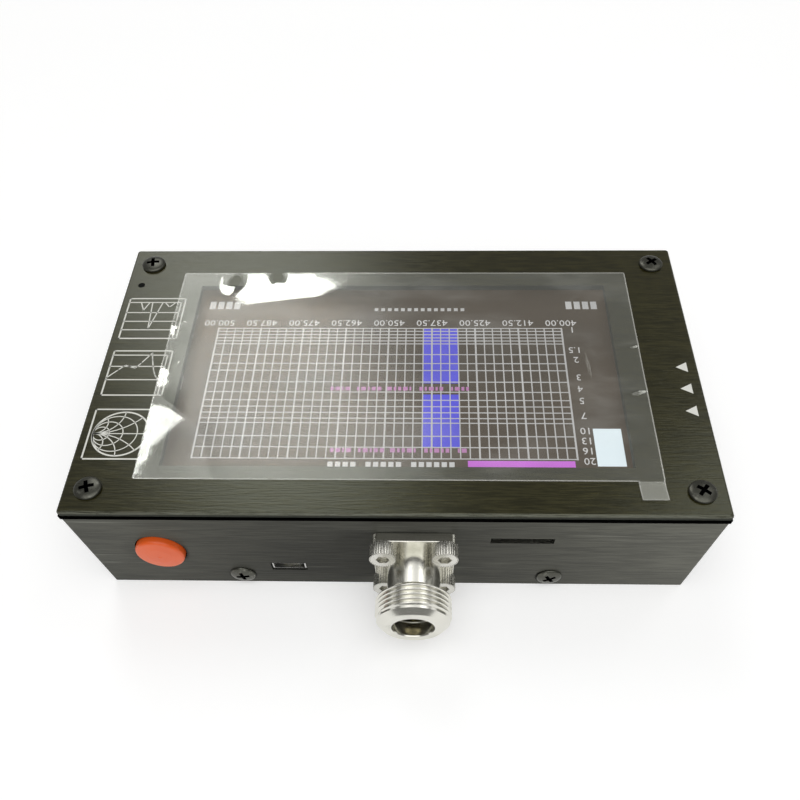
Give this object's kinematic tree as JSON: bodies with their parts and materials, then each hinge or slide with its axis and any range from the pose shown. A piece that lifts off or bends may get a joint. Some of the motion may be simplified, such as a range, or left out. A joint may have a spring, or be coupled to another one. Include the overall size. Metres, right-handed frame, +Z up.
{
  "type": "antenna analyzer",
  "caption": "Handheld antenna analyzer: flat black aluminium case with a lit touch screen under a clear film, a coaxial antenna socket and a red latching power button.",
  "frame": {"origin": "middle of the case's flat underside", "axes": "+X right across the screen as the picture shows it, -Y the side with the antenna socket, +Z up out of the screen"},
  "size_m": [0.133, 0.0981, 0.029],
  "materials": {
    "plate_black": "black anodised, brushed along X",
    "case_black": "black anodised, fine brushed",
    "black_screw": "black oxide",
    "gasket_black": "matt tape",
    "touch_glass": "clear over a lit screen",
    "frame_steel": "thin sheet",
    "display_glass": "liquid-crystal cell",
    "light_guide": "white",
    "foam_tape": "white foam",
    "board_green": "green solder mask",
    "led_smoked": "smoked",
    "chip_black": "moulded",
    "battery_silver": "silver pouch",
    "switch_blue": "moulded",
    "plunger_white": "moulded",
    "button_red": "glossy red",
    "nickel": "bright nickel plate",
    "insulator_white": "white",
    "contact_gold": "gold plated",
    "film_clear": "clear film",
    "steel_screw": "zinc plated",
    "spacer_brass": "turned"
  },
  "bodies": {
    "case": {"front_plate": "plate_black", "case_body": "case_black", "bottom_cover": "case_black", "plate_screw_1": "black_screw", "plate_screw_2": "black_screw", "plate_screw_3": "black_screw", "plate_screw_4": "black_screw", "cover_screw_1": "black_screw", "cover_screw_2": "black_screw", "cover_screw_3": "black_screw", "cover_screw_4": "black_screw", "display_gasket": "gasket_black", "touch_panel": "touch_glass", "display_frame": "frame_steel", "rf_shield": "frame_steel", "usb_socket": "frame_steel", "card_socket": "frame_steel", "display_cell": "display_glass", "display_light_guide": "light_guide", "display_tape": "foam_tape", "battery_tape": "foam_tape", "display_board": "board_green", "main_board": "board_green", "charge_led": "led_smoked", "processor_chip": "chip_black", "battery_pack": "battery_silver", "power_switch": "switch_blue", "antenna_socket": "nickel", "antenna_insulator": "insulator_white", "antenna_contact": "contact_gold", "signal_strap": "contact_gold", "screen_film": "film_clear", "flange_screw_1": "steel_screw", "flange_screw_2": "steel_screw", "flange_screw_3": "steel_screw", "flange_screw_4": "steel_screw", "flange_nut_1": "steel_screw", "flange_nut_2": "steel_screw", "flange_nut_3": "steel_screw", "flange_nut_4": "steel_screw", "board_screw_1": "steel_screw", "board_screw_2": "steel_screw", "board_screw_3": "steel_screw", "board_screw_4": "steel_screw", "lower_spacer_1": "spacer_brass", "lower_spacer_2": "spacer_brass", "lower_spacer_3": "spacer_brass", "lower_spacer_4": "spacer_brass", "upper_spacer_1": "spacer_brass", "upper_spacer_2": "spacer_brass", "upper_spacer_3": "spacer_brass", "upper_spacer_4": "spacer_brass"},
    "button": {"power_button": "button_red", "switch_plunger": "plunger_white"}
  },
  "joints": [
    {"name": "power_press", "type": "slide", "parent": "case", "child": "button", "axis": [0, 1, 0], "range_m": [-0.0016, 0.0008], "stiffness_N_per_m": 500}
  ]
}
